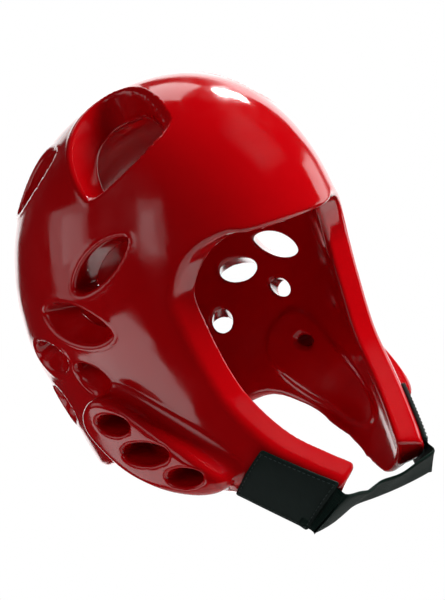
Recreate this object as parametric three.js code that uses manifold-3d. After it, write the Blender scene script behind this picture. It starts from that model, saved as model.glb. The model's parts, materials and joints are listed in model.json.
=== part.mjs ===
// Taekwondo headgear: a thick dipped-foam shell with vents and raised ear guards, closed under the chin
// by a black elastic strap between two flat anchor tabs.
// Millimetres, +Z up as worn. The wearer faces -Y and +X is the wearer's left.
// The origin is under the crown, where the shell sits on the head.
import * as THREE from 'three';
import { mergeVertices } from 'three/addons/utils/BufferGeometryUtils.js';
import Module from 'manifold-3d';

const wasm = await Module();
wasm.setup();

// Driving dimensions of the shell
const halfWidth = 98;
const frontReach = 104;
const backReach = 135;
const domeHeight = 125;
const skirtDepth = 158;
const wall = 20;
const apexForward = 9;
const domeBend = 2.2;

// Driving dimensions of what stands on the shell or cuts through it
const padRise = 18;
const padHalfLength = 57;
const padHalfWidth = 23;
const padHoleDepth = 22;
const tabThickness = 3;
const tabLength = 42.5;
const tabWidth = 33;
const strapWidth = 30;
const strapThickness = 2;
const strapLead = 3;
const clearance = 0.3;

// How finely the round forms are cut into facets
const columns = 44;
const domeRings = 12;
const skirtRings = 15;
const strapSteps = 40;
const slantSteps = 32;
const edgeSteps = 34;
const tipSteps = 12;
const ventSteps = 20;
const padSteps = 30;
const padHoleSteps = 14;

const equator = wall - domeHeight;
const shellBottom = equator - skirtDepth;
const beyond = 60;

// Sections of the skirt below the widest level: depth is a share of the skirt's depth, width, front and
// back are shares of the reaches at the widest level, and the wall columns are shares of the wall.
const skirtSections = [
  { depth: 0.00, width: 1.000, front: 1.00, back: 1.00, sideWall: 1.00, frontWall: 0.72 },
  { depth: 0.20, width: 0.948, front: 1.01, back: 0.98, sideWall: 1.00, frontWall: 0.72 },
  { depth: 0.45, width: 0.880, front: 1.01, back: 0.93, sideWall: 1.00, frontWall: 0.70 },
  { depth: 0.70, width: 0.845, front: 1.01, back: 0.84, sideWall: 1.05, frontWall: 0.62 },
  { depth: 0.85, width: 0.750, front: 1.06, back: 0.78, sideWall: 1.25, frontWall: 0.60 },
  { depth: 1.00, width: 0.655, front: 1.08, back: 0.74, sideWall: 1.45, frontWall: 0.60 },
];

// Edge of the face opening seen from the side, from the brow down to the chin tip.
// reach is a share of the front reach, drop a share of the skirt depth below the widest level.
const faceEdge = [
  { reach: 1.60, drop: -0.055 },
  { reach: 1.00, drop: -0.058 },
  { reach: 0.86, drop: -0.092 },
  { reach: 0.72, drop: -0.060 },
  { reach: 0.605, drop: 0.040 },
  { reach: 0.575, drop: 0.140 },
  { reach: 0.570, drop: 0.360 },
  { reach: 0.600, drop: 0.500 },
  { reach: 0.700, drop: 0.670 },
  { reach: 0.810, drop: 0.790 },
  { reach: 0.880, drop: 0.860 },
  { reach: 0.920, drop: 0.930 },
  { reach: 0.940, drop: 1.060 },
];

// Lower edge of the shell seen from the side, from behind the nape to in front of the chin tip, where it
// passes the middle of the wall. slant is how steeply it falls towards the middle of the head.
const lowerEdge = [
  { reach: -1.90, drop: 0.575, slant: 0.00 },
  { reach: -0.80, drop: 0.575, slant: 0.00 },
  { reach: -0.43, drop: 0.570, slant: 0.00 },
  { reach: -0.20, drop: 0.650, slant: 0.15 },
  { reach: 0.00, drop: 0.730, slant: 0.55 },
  { reach: 0.20, drop: 0.775, slant: 0.52 },
  { reach: 0.31, drop: 0.790, slant: 0.62 },
  { reach: 0.38, drop: 0.805, slant: 0.67 },
  { reach: 0.44, drop: 0.840, slant: 0.56 },
  { reach: 0.50, drop: 0.885, slant: 0.40 },
  { reach: 0.60, drop: 0.940, slant: 0.20 },
  { reach: 0.72, drop: 0.967, slant: 0.00 },
  { reach: 0.90, drop: 0.955, slant: 0.00 },
  { reach: 1.60, drop: 0.900, slant: 0.00 },
];

// Ends of the two cheek guards seen from the front, from the middle outwards.
// across is a share of the half width, drop a share of the skirt depth.
const tipEdge = [
  { across: 0.00, drop: 0.800 },
  { across: 0.17, drop: 0.850 },
  { across: 0.36, drop: 0.915 },
  { across: 0.49, drop: 0.970 },
  { across: 0.60, drop: 1.200 },
];

// The same ends fall backwards: where from, as a share of the front reach, and how steeply
const tipReach = 0.90;
const tipFall = 0.8;

// Vents of one half. bearing is the angle in plan from the front, level a share of the dome height above
// the widest level or of the skirt depth below it, long and wide are shares of the half width,
// turn lifts the vent's front end, in degrees, and taper is the share by which it narrows across the wall.
// ahead and above say how far its inner end lies before and over its outer end, as shares of the half width.
const vents = [
  { form: 'half_moon', bearing: 58.5, level: 0.775, long: 0.75, wide: 0.78, turn: 33,
    taper: 0.30, ahead: 0, above: 0 },
  { form: 'lens', bearing: 124, level: 0.74, long: 0.72, wide: 0.32, turn: 24,
    taper: 0.20, ahead: 0, above: 0 },
  { form: 'lens', bearing: 73, level: 0.205, long: 0.54, wide: 0.19, turn: 20,
    taper: 0.20, ahead: 0, above: 0 },
  { form: 'lens', bearing: 95, level: -0.005, long: 0.66, wide: 0.26, turn: -27,
    taper: 0.38, ahead: 0.04, above: 0.01 },
  { form: 'oval', bearing: 122, level: -0.09, long: 0.44, wide: 0.23, turn: -12,
    taper: 0.33, ahead: 0.09, above: 0.06 },
  { form: 'oval', bearing: 101, level: -0.225, long: 0.32, wide: 0.19, turn: -35,
    taper: 0.42, ahead: 0.05, above: 0.07 },
  { form: 'oval', bearing: 137, level: -0.28, long: 0.23, wide: 0.26, turn: 0,
    taper: 0.38, ahead: 0.10, above: 0.09 },
];

// The half-moon's straight side: how much it bows, how far it lies from the middle and how far the round
// side leans forwards, as shares of the vent's width
const moonBow = 0.12;
const moonSet = 0.33;
const moonLean = 0.23;

// How far a vent's cutter reaches inwards and outwards from the skin
const ventReach = 2 * wall;
const ventRise = wall;

// A lens's ends are drawn out to points by this power of the ellipse's own width
const lensPoint = 0.35;

// Raised ear guard: its middle and tilt seen from the side, and its outline in shares of its half length
// (positive towards the chin) and half width (positive towards the brow).
const padMiddle = { reach: 0.145, drop: 0.545 };
const padTilt = 36;
const padOutline = [
  { along: -0.93, across: 0.10 },
  { along: -0.83, across: -0.50 },
  { along: -0.38, across: -0.90 },
  { along: 0.17, across: -0.93 },
  { along: 0.60, across: -0.76 },
  { along: 0.84, across: -0.42 },
  { along: 0.83, across: -0.06 },
  { along: 0.58, across: 0.26 },
  { along: 0.03, across: 0.70 },
  { along: -0.46, across: 1.00 },
  { along: -0.76, across: 0.80 },
];
const padHoles = [
  { along: -0.44, across: 0.38, long: 0.49, wide: 0.24 },
  { along: -0.01, across: -0.04, long: 0.64, wide: 0.25 },
  { along: 0.49, across: -0.25, long: 0.42, wide: 0.21 },
];

// The first hole goes on through the wall to the ear at this share of its size
const earHoleShare = 0.55;
const padHoleTurn = 22;

// Width of the half-way plane that a pad's body starts from, inside the shell's cavity, as a share
const padRootShare = 0.32;

// Where the lower edge's drops hold, between the shell's two faces
const wallMiddle = 0.8 * halfWidth - wall / 2;

// Anchor tab: its middle and tilt seen from the side, where its outer end leaves the cheek.
const tabMiddle = { reach: 0.666, drop: 0.857 };
const tabTilt = 54;

// Route of the chin strap from the right tab to the middle of the chin, mirrored for the other half.
// span is a share of the tab end's distance from the middle, swing turns the strap's width out of the
// front-to-back direction in plan, and hang lowers its rear edge, both in degrees.
const strapRoute = [
  { span: 1.02, reach: 0.830, drop: 0.992, swing: 34, hang: 26 },
  { span: 0.62, reach: 0.780, drop: 1.005, swing: 12, hang: 24 },
  { span: 0.30, reach: 0.723, drop: 1.012, swing: 3, hang: 17 },
  { span: 0.00, reach: 0.690, drop: 1.003, swing: 0, hang: 18 },
];

const red = new THREE.MeshStandardMaterial({ color: 0xb00008, roughness: 0.12, metalness: 0 });
const black = new THREE.MeshStandardMaterial({ color: 0x0b1214, roughness: 0.8, metalness: 0 });
const webbing = new THREE.MeshStandardMaterial({ color: 0x141d1f, roughness: 0.7, metalness: 0 });

const AXIS_X = new THREE.Vector3(1, 0, 0);
const AXIS_Y = new THREE.Vector3(0, 1, 0);
const AXIS_Z = new THREE.Vector3(0, 0, 1);

// Value of one column of a table at a depth, on a smooth curve through its rows
function sectionValue(column, depth) {
  const rows = skirtSections;
  const at = Math.min(Math.max(depth, 0), rows[rows.length - 1].depth);
  let i = 0;
  while (i < rows.length - 2 && at > rows[i + 1].depth) i += 1;
  const slope = (k) => {
    const before = rows[Math.max(k - 1, 0)];
    const after = rows[Math.min(k + 1, rows.length - 1)];
    return k === 0 ? 0 : (after[column] - before[column]) / (after.depth - before.depth);
  };
  const span = rows[i + 1].depth - rows[i].depth;
  const t = (at - rows[i].depth) / span;
  const rise = t * t * (3 - 2 * t);
  const start = t * (1 - t) * (1 - t) * span * slope(i);
  const end = -t * t * (1 - t) * span * slope(i + 1);
  return rows[i][column] * (1 - rise) + rows[i + 1][column] * rise + start + end;
}

// Point of the skin at a bearing and a height, set in by a depth of foam or out by a negative one
function skinPoint(bearing, height, inset = 0) {
  const depth = (equator - height) / skirtDepth;
  const side = inset > 0 ? inset * sectionValue('sideWall', depth) : inset;
  const front = inset > 0 ? inset * sectionValue('frontWall', depth) : inset;
  const halfX = halfWidth * sectionValue('width', depth) - side;
  const forward = frontReach * sectionValue('front', depth) - front;
  const rearward = backReach * sectionValue('back', depth) - inset;
  const up = Math.min(Math.max(height - equator, 0) / (domeHeight - inset), 1);
  const ring = Math.pow(1 - Math.pow(up, domeBend), 1 / domeBend);
  const x = -Math.sin(bearing);
  const y = -Math.cos(bearing);
  const reach = ring / Math.hypot(x / halfX, y / (y < 0 ? forward : rearward));
  return new THREE.Vector3(reach * x, reach * y - apexForward * up, height);
}

// Outward direction of the outer skin
function skinNormal(bearing, height) {
  const step = 0.01;
  const round = skinPoint(bearing + step, height).sub(skinPoint(bearing - step, height));
  const down = skinPoint(bearing, height - 1).sub(skinPoint(bearing, height + 1));
  return round.cross(down).normalize();
}

function heightAt(level) {
  return equator + level * (level > 0 ? domeHeight : skirtDepth);
}

// Place seen from the side: share of the front reach forwards, share of the skirt depth downwards
function sidePlace({ reach, drop }) {
  return new THREE.Vector2(-reach * frontReach, equator - drop * skirtDepth);
}

// Closed mesh of triangles as a solid that can be joined and cut
function solid(geometry) {
  const bare = geometry.index ? geometry.clone() : geometry;
  bare.deleteAttribute('normal');
  bare.deleteAttribute('uv');
  const merged = mergeVertices(bare, 1e-4);
  return new wasm.Manifold(new wasm.Mesh({
    numProp: 3,
    vertProperties: new Float32Array(merged.attributes.position.array),
    triVerts: new Uint32Array(merged.index.array),
  }));
}

function meshOf(name, body, material) {
  const made = body.getMesh();
  const geometry = new THREE.BufferGeometry();
  geometry.setAttribute('position', new THREE.BufferAttribute(made.vertProperties, 3));
  geometry.setIndex(new THREE.BufferAttribute(made.triVerts, 1));
  geometry.computeVertexNormals();
  const mesh = new THREE.Mesh(geometry, material);
  mesh.name = name;
  return mesh;
}

// Rings of points joined into a closed skin, with one point closing the top and one the bottom
function closedRings(rings, top, bottom) {
  const around = rings[0].length;
  const points = [top, ...rings.flat(), bottom];
  const faces = [];
  const at = (ring, column) => 1 + ring * around + (column % around);
  for (let c = 0; c < around; c += 1) {
    faces.push(0, at(0, c), at(0, c + 1));
    faces.push(points.length - 1, at(rings.length - 1, c + 1), at(rings.length - 1, c));
    for (let r = 0; r < rings.length - 1; r += 1) {
      faces.push(at(r, c), at(r + 1, c), at(r + 1, c + 1));
      faces.push(at(r, c), at(r + 1, c + 1), at(r, c + 1));
    }
  }
  const geometry = new THREE.BufferGeometry();
  geometry.setAttribute('position', new THREE.Float32BufferAttribute(points.flatMap((p) => p.toArray()), 3));
  geometry.setIndex(faces);
  return geometry;
}

// Full body of the head form inside the skin at an inset, carried on below the shell
function headForm(inset, below) {
  const rings = [];
  const ringAt = (height) => Array.from({ length: columns }, (_, c) => (
    skinPoint(-c * 2 * Math.PI / columns, height, inset)
  ));
  for (let r = 1; r <= domeRings; r += 1) {
    const lean = (r / domeRings) * Math.PI / 2;
    rings.push(ringAt(equator + (domeHeight - inset) * Math.pow(Math.cos(lean), 2 / domeBend)));
  }
  for (let r = 1; r <= skirtRings; r += 1) {
    rings.push(ringAt(equator - skirtDepth * r / skirtRings));
  }
  rings.push(ringAt(shellBottom - below));
  const top = new THREE.Vector3(0, -apexForward, wall - inset);
  const bottom = new THREE.Vector3(0, 0, shellBottom - below);
  return solid(closedRings(rings, top, bottom));
}

// Outline seen from the side, run across the whole width, or from one half width to another
function sidePrism(shape, from, to) {
  const geometry = new THREE.ExtrudeGeometry(shape, { depth: to - from, bevelEnabled: false });
  geometry.translate(0, 0, from);
  geometry.applyMatrix4(new THREE.Matrix4().makeBasis(AXIS_Y, AXIS_Z, AXIS_X));
  return solid(geometry);
}

function smoothLine(points, steps) {
  return new THREE.SplineCurve(points).getPoints(steps);
}

function faceCutter() {
  const edge = smoothLine(faceEdge.map(sidePlace), edgeSteps);
  const far = -frontReach - beyond * 2;
  const shape = new THREE.Shape([
    ...edge,
    new THREE.Vector2(edge[edge.length - 1].x, shellBottom - beyond),
    new THREE.Vector2(far, shellBottom - beyond),
    new THREE.Vector2(far, edge[0].y),
  ]);
  return sidePrism(shape, -halfWidth - beyond, halfWidth + beyond);
}

// Slant of the lower edge at a place along the head
function slantAt(y) {
  const rows = lowerEdge.map((row) => ({ y: sidePlace(row).x, slant: row.slant }));
  const i = Math.max(rows.findIndex((row) => row.y < y), 1);
  const t = (rows[i - 1].y - y) / (rows[i - 1].y - rows[i].y);
  return rows[i - 1].slant * (1 - t) + rows[i].slant * t;
}

// Everything below the lower edge. Its top falls towards the middle of the head by the slant.
function lowerCutter() {
  const edge = smoothLine(lowerEdge.map(sidePlace), edgeSteps);
  const shape = new THREE.Shape([
    ...edge,
    new THREE.Vector2(edge[edge.length - 1].x, shellBottom - 2 * beyond),
    new THREE.Vector2(edge[0].x, shellBottom - 2 * beyond),
  ]);
  const half = halfWidth + beyond;
  const geometry = new THREE.ExtrudeGeometry(shape, {
    depth: 2 * half,
    steps: slantSteps,
    bevelEnabled: false,
  });
  geometry.translate(0, 0, -half);
  geometry.applyMatrix4(new THREE.Matrix4().makeBasis(AXIS_Y, AXIS_Z, AXIS_X));
  const place = geometry.attributes.position;
  for (let i = 0; i < place.count; i += 1) {
    const out = Math.abs(place.getX(i)) - wallMiddle;
    place.setZ(i, place.getZ(i) + out * slantAt(place.getY(i)));
  }
  return solid(geometry);
}

// Gap between the cheek guards' ends, cut from the front
function tipCutter() {
  const edge = smoothLine(tipEdge.map(({ across, drop }) => (
    new THREE.Vector2(across * halfWidth, equator - drop * skirtDepth)
  )), tipSteps);
  const mirrored = edge.slice(1).reverse().map((p) => new THREE.Vector2(-p.x, p.y));
  const geometry = new THREE.ExtrudeGeometry(new THREE.Shape([...mirrored, ...edge]), {
    depth: frontReach + beyond,
    bevelEnabled: false,
  });
  geometry.rotateX(Math.PI / 2);
  const place = geometry.attributes.position;
  for (let i = 0; i < place.count; i += 1) {
    place.setZ(i, place.getZ(i) - tipFall * (place.getY(i) + tipReach * frontReach));
  }
  return solid(geometry);
}

// Outlines of the vents, long along the first axis
function ventShape(form, long, wide) {
  const half = long / 2;
  const outline = [];
  for (let i = 0; i < ventSteps; i += 1) {
    const a = i / ventSteps * 2 * Math.PI;
    if (form === 'lens') {
      const swell = Math.sin(a) * Math.abs(Math.sin(a)) ** lensPoint;
      outline.push(new THREE.Vector2(half * Math.cos(a), wide / 2 * swell));
    } else if (form === 'half_moon') {
      const rise = Math.sin(a) * (Math.sin(a) > 0 ? 1 : moonBow);
      const lean = moonLean * Math.max(rise, 0);
      outline.push(new THREE.Vector2(half * Math.cos(a) + wide * lean, wide * (rise - moonSet)));
    } else {
      outline.push(new THREE.Vector2(half * Math.cos(a), wide / 2 * Math.sin(a)));
    }
  }
  return new THREE.Shape(outline);
}

// Cutter for one vent, square to the skin on the wearer's right, or mirrored for the left
function ventCutter({ form, bearing, level, long, wide, turn, taper, ahead, above }, side) {
  const angle = THREE.MathUtils.degToRad(bearing);
  const height = heightAt(level);
  const normal = skinNormal(angle, height);
  const forward = new THREE.Vector3().crossVectors(AXIS_Z, normal).normalize();
  const upward = new THREE.Vector3().crossVectors(normal, forward).normalize();
  const lean = THREE.MathUtils.degToRad(turn);
  const along = forward.clone().multiplyScalar(Math.cos(lean)).addScaledVector(upward, Math.sin(lean));
  const across = new THREE.Vector3().crossVectors(normal, along);
  const shape = ventShape(form, long * halfWidth, wide * halfWidth);
  const geometry = new THREE.ExtrudeGeometry(shape, { depth: ventReach + ventRise, bevelEnabled: false });
  geometry.translate(0, 0, -ventReach);
  const place = geometry.attributes.position;
  for (let i = 0; i < place.count; i += 1) {
    const share = 1 + taper * place.getZ(i) / wall;
    place.setXY(i, place.getX(i) * share, place.getY(i) * share);
  }
  const way = normal.clone()
    .addScaledVector(forward, -ahead * halfWidth / wall)
    .addScaledVector(upward, -above * halfWidth / wall);
  geometry.applyMatrix4(new THREE.Matrix4().makeBasis(along, across, way));
  geometry.translate(...skinPoint(angle, height).toArray());
  const cutter = solid(geometry);
  return side > 0 ? cutter.mirror([1, 0, 0]) : cutter;
}

// Places in the ear guard's or a tab's own frame, turned to its tilt
function tilted(middle, tilt, along, across) {
  const lean = THREE.MathUtils.degToRad(tilt);
  const centre = sidePlace(middle);
  return new THREE.Vector2(
    centre.x - along * Math.cos(lean) - across * Math.sin(lean),
    centre.y - along * Math.sin(lean) + across * Math.cos(lean),
  );
}

function earPad(side) {
  const points = padOutline.map(({ along, across }) => (
    tilted(padMiddle, padTilt, along * padHalfLength, across * padHalfWidth)
  ));
  const closed = new THREE.CatmullRomCurve3(points.map((p) => new THREE.Vector3(p.x, p.y, 0)), true);
  const outline = closed.getPoints(padSteps).slice(0, -1);
  const shape = new THREE.Shape(outline.map((p) => new THREE.Vector2(p.x, p.y)));
  const inner = padRootShare * halfWidth;
  const outer = halfWidth + padRise + beyond;
  const prism = side > 0 ? sidePrism(shape, inner, outer) : sidePrism(shape, -outer, -inner);
  return headForm(-padRise, beyond).intersect(prism);
}

// Cutter for a hole in the ear guard, at a share of its size, down to a depth below the guard's face
function padHoleCutter({ along, across, long, wide }, side, share, depth) {
  const centre = tilted(padMiddle, padTilt, along * padHalfLength, across * padHalfWidth);
  const lean = THREE.MathUtils.degToRad(padTilt - padHoleTurn);
  const outline = [];
  for (let i = 0; i < padHoleSteps; i += 1) {
    const a = i / padHoleSteps * 2 * Math.PI;
    const u = share * long / 2 * padHalfLength * Math.cos(a);
    const v = share * wide / 2 * padHalfLength * Math.sin(a);
    outline.push(new THREE.Vector2(
      centre.x - u * Math.cos(lean) - v * Math.sin(lean),
      centre.y - u * Math.sin(lean) + v * Math.cos(lean),
    ));
  }
  const bearing = Math.atan2(halfWidth, -centre.x);
  const floor = Math.abs(skinPoint(bearing, centre.y, -padRise).x) - depth;
  const outer = halfWidth + padRise + beyond;
  const shape = new THREE.Shape(outline);
  return side > 0 ? sidePrism(shape, floor, outer) : sidePrism(shape, -outer, -floor);
}

function foamShell() {
  const inside = headForm(wall, 2 * beyond);
  let body = headForm(0, beyond).subtract(inside);
  for (const cutter of [faceCutter(), lowerCutter(), tipCutter()]) body = body.subtract(cutter);
  for (const side of [-1, 1]) {
    for (const vent of vents) body = body.subtract(ventCutter(vent, side));
    body = body.add(earPad(side).subtract(inside));
    for (const hole of padHoles) body = body.subtract(padHoleCutter(hole, side, 1, padHoleDepth));
    body = body.subtract(padHoleCutter(padHoles[0], side, earHoleShare, padRise + 2 * wall));
  }
  return meshOf('foam_shell', body, red);
}

// Flat tab that follows the cheek guard's outer face at the clearance
function strapTab(name, side) {
  const corners = [[-1, -1], [-1, 1], [1, 1], [1, -1]].map(([along, across]) => (
    tilted(tabMiddle, tabTilt, along * tabLength / 2, across * tabWidth / 2)
  ));
  const shape = new THREE.Shape(corners);
  const outer = halfWidth + beyond;
  const prism = side > 0 ? sidePrism(shape, 0, outer) : sidePrism(shape, -outer, 0);
  const sheet = headForm(-clearance - tabThickness, beyond).subtract(headForm(-clearance, 2 * beyond));
  return meshOf(name, sheet.intersect(prism), black);
}

// Point on the right cheek's outer face at a place seen from the side, outside the skin by a distance
function cheekPoint(place, out) {
  const depth = (equator - place.y) / skirtDepth;
  const halfX = halfWidth * sectionValue('width', depth) + out;
  const forward = frontReach * sectionValue('front', depth) + out;
  return new THREE.Vector3(-halfX * Math.sqrt(1 - (place.x / forward) ** 2), place.x, place.y);
}

// Elastic band from tab to tab: rings of four corners along the route
function chinStrap() {
  const out = clearance + tabThickness / 2;
  const sideOf = (along, across) => tilted(tabMiddle, tabTilt, tabLength / 2 + clearance + along, across);
  const endAt = (across) => cheekPoint(sideOf(0, across), out);
  const start = { middle: endAt(0), width: endAt(-strapWidth / 2).sub(endAt(strapWidth / 2)).normalize() };
  const ahead = sideOf(strapLead, 0);
  const lead = { middle: new THREE.Vector3(start.middle.x, ahead.x, ahead.y), width: start.width.clone() };
  const rows = strapRoute.map(({ span, reach, drop, swing, hang }) => {
    const turn = THREE.MathUtils.degToRad(swing);
    const lean = THREE.MathUtils.degToRad(hang);
    const place = sidePlace({ reach, drop });
    return {
      middle: new THREE.Vector3(span * start.middle.x, place.x, place.y),
      width: new THREE.Vector3(
        -Math.sin(turn) * Math.cos(lean), Math.cos(turn) * Math.cos(lean), -Math.sin(lean),
      ),
    };
  });
  const half = [start, lead, ...rows];
  const mirrored = half.slice(0, -1).reverse().map(({ middle, width }) => ({
    middle: middle.clone().setX(-middle.x),
    width: width.clone().setX(-width.x),
  }));
  const stations = [...half, ...mirrored];
  const line = new THREE.CatmullRomCurve3(stations.map((s) => s.middle));
  const lay = new THREE.CatmullRomCurve3(stations.map((s) => s.width));
  const rings = [];
  for (let i = 0; i <= strapSteps; i += 1) {
    const t = i / strapSteps;
    const middle = line.getPoint(t);
    const width = lay.getPoint(t).normalize();
    const up = line.getTangent(t).cross(width).normalize();
    const corner = (u, v) => middle.clone()
      .addScaledVector(width, u * strapWidth / 2)
      .addScaledVector(up, v * strapThickness / 2);
    rings.push([corner(-1, -1), corner(-1, 1), corner(1, 1), corner(1, -1)]);
  }
  const geometry = closedRings(rings, line.getPoint(0), line.getPoint(1));
  return meshOf('chin_strap', solid(geometry), webbing);
}

const headgear = new THREE.Group();
headgear.add(foamShell());
headgear.add(strapTab('strap_tab_right', -1));
headgear.add(strapTab('strap_tab_left', 1));
headgear.add(chinStrap());

export default headgear;
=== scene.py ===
# %% [markdown]
# # A taekwondo headgear
# The real headgear is one block of soft closed-cell foam, moulded with its vents and then dipped in liquid
# vinyl. The vinyl cures to a thick, glossy, seamless skin that rounds every edge. Two flat black tabs are
# fastened to the cheek guards, and a black elastic strap runs between them under the chin.
#
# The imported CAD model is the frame: it has the right sizes and places, but flat facets and sharp edges.
# This lesson keeps its measurements and makes the soft surface over it.

# %% Load the frame
import json
import math

import bmesh
import bpy
import numpy as np
from mathutils import Matrix, Vector

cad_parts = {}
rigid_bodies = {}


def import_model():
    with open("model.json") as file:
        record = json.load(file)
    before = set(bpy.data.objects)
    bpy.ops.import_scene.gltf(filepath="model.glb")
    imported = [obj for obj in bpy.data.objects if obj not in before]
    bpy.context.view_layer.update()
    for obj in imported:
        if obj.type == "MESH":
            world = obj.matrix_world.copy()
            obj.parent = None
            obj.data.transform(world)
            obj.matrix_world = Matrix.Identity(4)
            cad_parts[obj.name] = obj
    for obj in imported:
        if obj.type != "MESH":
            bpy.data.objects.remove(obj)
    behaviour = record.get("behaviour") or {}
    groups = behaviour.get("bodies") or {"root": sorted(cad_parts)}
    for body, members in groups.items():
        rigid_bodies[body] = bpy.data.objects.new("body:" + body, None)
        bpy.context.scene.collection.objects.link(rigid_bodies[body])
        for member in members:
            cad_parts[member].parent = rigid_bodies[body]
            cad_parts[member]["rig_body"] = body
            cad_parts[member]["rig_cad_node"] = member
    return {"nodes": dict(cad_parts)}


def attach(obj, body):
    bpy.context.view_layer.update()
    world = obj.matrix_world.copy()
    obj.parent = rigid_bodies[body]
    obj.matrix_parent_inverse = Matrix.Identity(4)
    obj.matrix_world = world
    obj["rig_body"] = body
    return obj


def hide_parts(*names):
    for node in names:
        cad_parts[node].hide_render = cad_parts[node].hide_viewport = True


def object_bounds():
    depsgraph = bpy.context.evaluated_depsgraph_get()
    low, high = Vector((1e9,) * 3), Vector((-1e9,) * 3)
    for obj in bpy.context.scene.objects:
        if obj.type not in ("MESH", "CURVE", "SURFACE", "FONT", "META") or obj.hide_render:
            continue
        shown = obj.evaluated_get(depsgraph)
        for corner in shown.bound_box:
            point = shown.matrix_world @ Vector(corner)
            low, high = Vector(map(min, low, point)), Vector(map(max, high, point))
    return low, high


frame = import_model()
cad_low, cad_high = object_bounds()
MM = 0.001
print("CAD box in mm:", [round(v / MM) for v in cad_high - cad_low])

# %% [markdown]
# ## The photograph's view
# The camera stands level with the middle of the headgear, to the wearer's right of its face. The headgear
# leans back in the photograph, and that is done here by rolling the camera, so that the part stays upright
# in its own frame. The distance was found from how much smaller the far cheek guard looks than the near one.

# %% Camera
VIEW_AZIMUTH = -41.3
VIEW_ROLL = 21.8
VIEW_DISTANCE = 1.272
VIEW_TARGET = Vector((0, 0, -0.1204))
TARGET_PIXEL = (205.2, 299.0)
PHOTO_SIZE = (445, 600)
PIXELS_PER_METRE = 1604

turn = math.radians(VIEW_AZIMUTH)
roll = math.radians(VIEW_ROLL)
view_back = Vector((math.sin(turn), -math.cos(turn), 0))
level_right = Vector((math.cos(turn), math.sin(turn), 0))
view_right = level_right * math.cos(roll) - Vector((0, 0, 1)) * math.sin(roll)
view_up = view_back.cross(view_right)

camera_data = bpy.data.cameras.new("camera")
camera = bpy.data.objects.new("camera", camera_data)
bpy.context.scene.collection.objects.link(camera)
bpy.context.scene.camera = camera
camera_data.sensor_width = 36
camera_data.lens = PIXELS_PER_METRE * VIEW_DISTANCE / PHOTO_SIZE[1] * camera_data.sensor_width
camera_data.shift_x = (PHOTO_SIZE[0] / 2 - TARGET_PIXEL[0]) / PHOTO_SIZE[1]
camera_data.shift_y = (TARGET_PIXEL[1] - PHOTO_SIZE[1] / 2) / PHOTO_SIZE[1]
camera_turn = Matrix((view_right, view_up, view_back)).transposed().to_4x4()
camera.matrix_world = Matrix.Translation(VIEW_TARGET + view_back * VIEW_DISTANCE) @ camera_turn
print("lens in mm:", round(camera_data.lens, 1))

# %% [markdown]
# ## Studio light
# Glossy vinyl shows its surroundings, so the light is built as a photographer builds it, from boxes at
# chosen places round the camera. Each box gives one thing on the part. The key box lights the brow and the
# right of the face from above, and the flank box fills the dark side: both give colour and aren't mirrored.
# The crown and top boxes are the shine on the dome, the side, front and table boxes lie as soft veils on the
# flank and the ear guard, and the brow and back boxes draw the pale line round the outline.

# %% Helper: a soft box aimed at the part
def soft_box(name, right_deg, up_deg, distance, width, height, power, twist_deg=0, **seen):
    """Area light at an angle to the right of and above the camera's own direction, in degrees."""
    across = math.radians(right_deg)
    above = math.radians(up_deg)
    direction = (
        view_right * math.sin(across) * math.cos(above)
        + view_up * math.sin(above)
        + view_back * math.cos(across) * math.cos(above)
    )
    data = bpy.data.lights.new(name, "AREA")
    data.shape = "RECTANGLE"
    data.size = width
    data.size_y = height
    data.energy = power
    box = bpy.data.objects.new(name, data)
    bpy.context.scene.collection.objects.link(box)
    aim = direction.to_track_quat("Z", "Y").to_matrix().to_4x4()
    twist = Matrix.Rotation(math.radians(twist_deg), 4, "Z")
    box.matrix_world = Matrix.Translation(VIEW_TARGET + direction * distance) @ aim @ twist
    box.visible_camera = False
    for ray, shown in seen.items():
        setattr(box, "visible_" + ray, shown)
    return box


# %% The boxes
soft_box("key_box", 84, 54, 1.6, 0.8, 0.8, 44, glossy=False)
soft_box("flank_box", -52, 14, 2.0, 1.4, 1.4, 13, glossy=False)
soft_box("crown_box", 149, 57, 1.5, 0.16, 0.34, 20, diffuse=False)
soft_box("top_box", -150, 62, 1.6, 0.9, 0.7, 6, diffuse=False)
soft_box("brow_box", 124, 14, 1.6, 0.5, 0.9, 3, diffuse=False)
soft_box("side_box", -92, 0, 1.6, 1.0, 0.75, 1.5, twist_deg=10, diffuse=False)
soft_box("side_box_inner", -90, 2, 1.6, 0.6, 0.44, 0.5, twist_deg=6, diffuse=False)
soft_box("front_box", -30, 8, 1.6, 0.50, 0.72, 0.8, twist_deg=-14, diffuse=False)
soft_box("front_box_inner", -31, 6, 1.6, 0.28, 0.5, 0.4, twist_deg=-18, diffuse=False)
soft_box("table_box", -82, -36, 1.4, 1.3, 0.4, 3.0)
soft_box("back_box", 180, 10, 1.8, 2.4, 2.0, 30, diffuse=False)

# %% [markdown]
# The photograph is cut out on white. The world is white to the camera, and nearly dark to everything else, so
# that the boxes alone are mirrored. The floor is a plain pale disc well below the part, which hangs from
# its crown as it would on a head.

# %% World and floor
ROOM_GLOW = (0.014, 0.014, 0.015, 1)

world = bpy.data.worlds.new("studio")
bpy.context.scene.world = world
world.use_nodes = True
sky = world.node_tree
sky.nodes.clear()
white_seen = sky.nodes.new("ShaderNodeBackground")
white_seen.inputs["Color"].default_value = (1, 1, 1, 1)
dim_room = sky.nodes.new("ShaderNodeBackground")
dim_room.inputs["Color"].default_value = ROOM_GLOW
ray = sky.nodes.new("ShaderNodeLightPath")
choose = sky.nodes.new("ShaderNodeMixShader")
sky_out = sky.nodes.new("ShaderNodeOutputWorld")
sky.links.new(ray.outputs["Is Camera Ray"], choose.inputs[0])
sky.links.new(dim_room.outputs[0], choose.inputs[1])
sky.links.new(white_seen.outputs[0], choose.inputs[2])
sky.links.new(choose.outputs[0], sky_out.inputs["Surface"])
bpy.context.scene.view_settings.view_transform = "Standard"

FLOOR_DROP = 0.26
FLOOR_RADIUS = 0.62

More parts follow.
